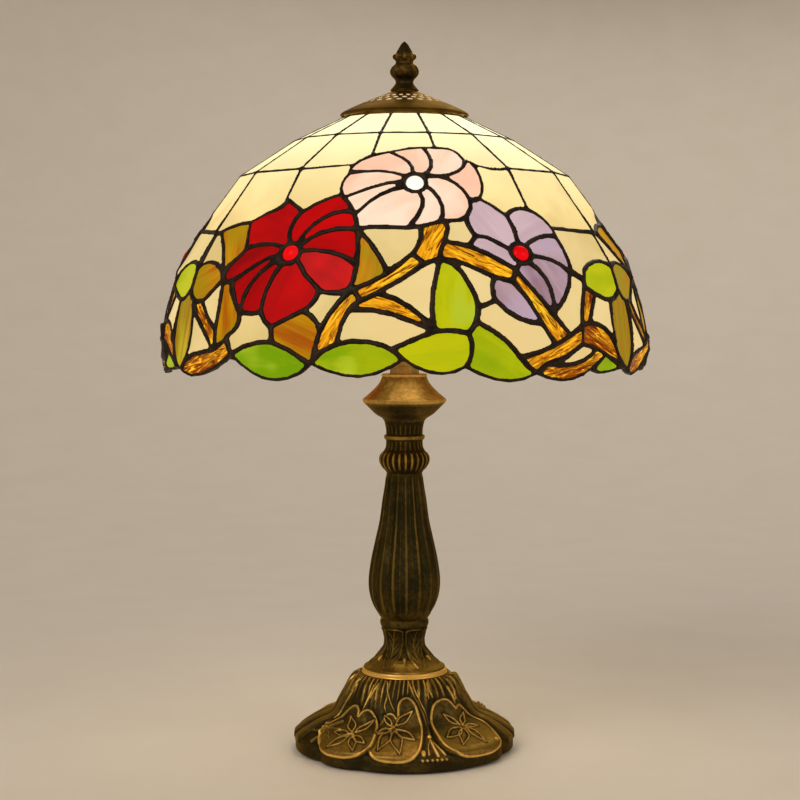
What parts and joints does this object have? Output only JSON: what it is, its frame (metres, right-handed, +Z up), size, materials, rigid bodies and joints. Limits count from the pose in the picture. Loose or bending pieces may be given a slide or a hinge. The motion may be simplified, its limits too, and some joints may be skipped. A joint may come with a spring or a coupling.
{
  "type": "stained glass table lamp",
  "caption": "Table lamp with a leaded dome shade of flowers and leaves on a fluted bronze-finish column and a cast lily-pad foot.",
  "frame": {"origin": "on the table, under the lamp axis, at the middle of the felt underside", "axes": "+Z up along the lamp axis, front of the lamp towards -Y, +X to the right seen from the front"},
  "size_m": [0.3063, 0.3076, 0.447],
  "materials": {
    "felt": "matte felt",
    "iron": "rough cast",
    "bronze": "antique bronze, rubbed highlights",
    "steel": "zinc plated",
    "brass": "satin",
    "phenolic": "satin moulding",
    "card": "matte insulating sleeve",
    "bulb_cap": "rolled",
    "black_glass": "vitrified insulator",
    "clear_glass": "frosted inside",
    "stem_glass": "clear",
    "tungsten": "fine wire",
    "came": "dark patinated solder",
    "cream": "opalescent, streaky",
    "pink": "opalescent, streaky",
    "red": "cathedral, streaky",
    "lilac": "opalescent, streaky",
    "green": "opalescent, streaky",
    "amber": "streaky",
    "stalk": "streaky",
    "branch": "rippled",
    "jewel_white": "polished cabochon",
    "jewel_red": "polished cabochon"
  },
  "bodies": {
    "base": {"felt_pad": "felt", "base_weight": "iron", "foot_casting": "bronze", "cord_bushing": "phenolic", "base_nut": "steel", "base_washer": "steel", "lamp_pipe": "steel", "leaf_collar": "bronze", "baluster": "bronze", "neck_casting": "bronze", "socket_cup": "bronze", "column_nut": "brass", "harp_saddle": "brass", "harp_loop": "brass", "harp_stud": "brass", "socket_cap": "brass", "socket_shell": "brass", "socket_sleeve": "card", "socket_core": "phenolic", "screw_shell": "brass", "centre_contact": "brass", "terminal_screws": "brass"},
    "bulb_contact": {"bulb_tip_contact": "bulb_cap"},
    "bulb": {"bulb_insulator": "black_glass", "bulb_screw_cap": "bulb_cap", "bulb_envelope": "clear_glass", "bulb_stem": "stem_glass", "bulb_filament": "tungsten", "filament_supports": "tungsten"},
    "washer": {"rest_washer": "brass"},
    "shade": {"shade_wheel": "brass", "cap_spacer": "brass", "vase_cap": "bronze", "solder_came": "came", "first_course_glass": "cream", "second_course_glass": "cream", "third_course_glass": "cream", "ground_glass": "cream", "pink_petals": "pink", "red_petals": "red", "lilac_petals": "lilac", "green_leaves": "green", "amber_leaves": "amber", "bud_stalks": "stalk", "branch_glass": "branch", "white_jewels": "jewel_white", "red_jewels": "jewel_red"},
    "finial_washer": {"finial_washer": "bronze"},
    "finial": {"finial": "bronze"}
  },
  "joints": [
    {"name": "shade_turn", "type": "hinge", "parent": "base", "child": "washer", "pos_m": [0, 0, 0.3974], "axis": [0, 0, 1], "continuous": true},
    {"name": "shade_lift", "type": "slide", "parent": "washer", "child": "shade", "axis": [0, 0, 1], "range_m": [0, 0.19]},
    {"name": "finial_climb", "type": "slide", "parent": "shade", "child": "finial_washer", "axis": [0, 0, 1], "range_m": [0, 0.0094]},
    {"name": "finial_turn", "type": "hinge", "parent": "finial_washer", "child": "finial", "pos_m": [0, 0, 0.4163], "axis": [0, 0, 1], "range_deg": [0, 3600]},
    {"name": "bulb_climb", "type": "slide", "parent": "base", "child": "bulb_contact", "axis": [0, 0, 1], "range_m": [0, 0.0149]},
    {"name": "bulb_turn", "type": "hinge", "parent": "bulb_contact", "child": "bulb", "pos_m": [0, 0, 0.27], "axis": [0, 0, 1], "range_deg": [0, 1478]}
  ],
  "couplings": [
    {"joint": "finial_turn", "follows": "finial_climb", "rad_per_m": 6684.2},
    {"joint": "bulb_turn", "follows": "bulb_climb", "rad_per_m": 1730.9}
  ]
}
